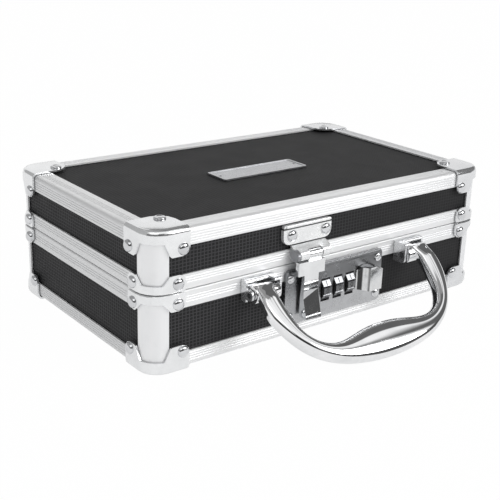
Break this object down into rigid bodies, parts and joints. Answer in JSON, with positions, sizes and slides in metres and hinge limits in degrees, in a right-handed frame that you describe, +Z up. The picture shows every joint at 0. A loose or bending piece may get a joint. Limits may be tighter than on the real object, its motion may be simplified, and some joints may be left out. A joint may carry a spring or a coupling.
{
  "type": "medication lock box",
  "caption": "Small aluminium-framed lock box with a hinged lid, pressed corner caps, combination lock, hasp and folding carry handle.",
  "frame": {"origin": "middle of the whole part's footprint, handle included, on the surface that the bottom corner caps stand on", "axes": "+X to the right along the front, +Y from the lock towards the hinge, +Z up"},
  "size_m": [0.2156, 0.177, 0.069],
  "materials": {
    "aluminium": "satin ribbed extrusion",
    "chrome": "bright plated, lightly handled",
    "steel": "plain bright",
    "panel": "black laminate with a fine square waffle emboss",
    "top_panel": "dark grey laminate with a faint grain",
    "lining": "dark soft lining",
    "dial": "dark satin with bright facets"
  },
  "bodies": {
    "base": {"base_back_left_brace": "chrome", "base_back_left_cap": "chrome", "base_back_left_column": "aluminium", "base_back_panel": "panel", "base_back_right_brace": "chrome", "base_back_right_cap": "chrome", "base_back_right_column": "aluminium", "base_bottom_panel": "panel", "base_edge_frame": "aluminium", "base_front_left_brace": "chrome", "base_front_left_cap": "chrome", "base_front_left_column": "aluminium", "base_front_panel": "panel", "base_front_right_brace": "chrome", "base_front_right_cap": "chrome", "base_front_right_column": "aluminium", "base_left_panel": "panel", "base_lining": "lining", "base_right_panel": "panel", "base_rim": "aluminium", "button_spring": "steel", "dial_spindle": "steel", "handle_bracket_left": "chrome", "handle_bracket_right": "chrome", "handle_pin_left": "steel", "handle_pin_right": "steel", "hinge_leaf_base": "aluminium", "hinge_pin": "steel", "lock_case": "chrome"},
    "lid": {"lid_back_left_brace": "chrome", "lid_back_left_cap": "chrome", "lid_back_left_column": "aluminium", "lid_back_panel": "panel", "lid_back_right_brace": "chrome", "lid_back_right_cap": "chrome", "lid_back_right_column": "aluminium", "lid_edge_frame": "aluminium", "lid_front_left_brace": "chrome", "lid_front_left_cap": "chrome", "lid_front_left_column": "aluminium", "lid_front_panel": "panel", "lid_front_right_brace": "chrome", "lid_front_right_cap": "chrome", "lid_front_right_column": "aluminium", "lid_left_panel": "panel", "lid_lining": "lining", "lid_right_panel": "panel", "lid_rim": "aluminium", "lid_top_panel": "top_panel", "name_plate": "aluminium", "hinge_leaf_lid": "aluminium", "catch_plate": "chrome", "hasp_pin": "steel"},
    "hasp": {"hasp": "chrome"},
    "handle": {"handle": "chrome"},
    "dial_1": {"dial_1": "dial"},
    "dial_2": {"dial_2": "dial"},
    "dial_3": {"dial_3": "dial"},
    "release": {"release_button": "chrome", "bolt_slide": "steel"}
  },
  "joints": [
    {"name": "lid_hinge", "type": "hinge", "parent": "base", "child": "lid", "pos_m": [0, 0.08685, 0.03835], "axis": [-1, 0, 0], "range_deg": [0, 175]},
    {"name": "hasp_hinge", "type": "hinge", "parent": "lid", "child": "hasp", "pos_m": [-0.01685, -0.04745, 0.0432], "axis": [-1, 0, 0], "range_deg": [0, 115]},
    {"name": "handle_pivot", "type": "hinge", "parent": "base", "child": "handle", "pos_m": [0.0012, -0.04925, 0.031], "axis": [-1, 0, 0], "range_deg": [0, 45]},
    {"name": "dial_1_spin", "type": "hinge", "parent": "base", "child": "dial_1", "pos_m": [-0.00555, -0.04045, 0.0211], "axis": [1, 0, 0], "continuous": true},
    {"name": "dial_2_spin", "type": "hinge", "parent": "base", "child": "dial_2", "pos_m": [0.00235, -0.04045, 0.0211], "axis": [1, 0, 0], "continuous": true},
    {"name": "dial_3_spin", "type": "hinge", "parent": "base", "child": "dial_3", "pos_m": [0.01025, -0.04045, 0.0211], "axis": [1, 0, 0], "continuous": true},
    {"name": "release_slide", "type": "slide", "parent": "base", "child": "release", "axis": [1, 0, 0], "range_m": [0, 0.004], "stiffness_N_per_m": 250, "springref_m": -0.003, "deforming": ["button_spring"]}
  ]
}
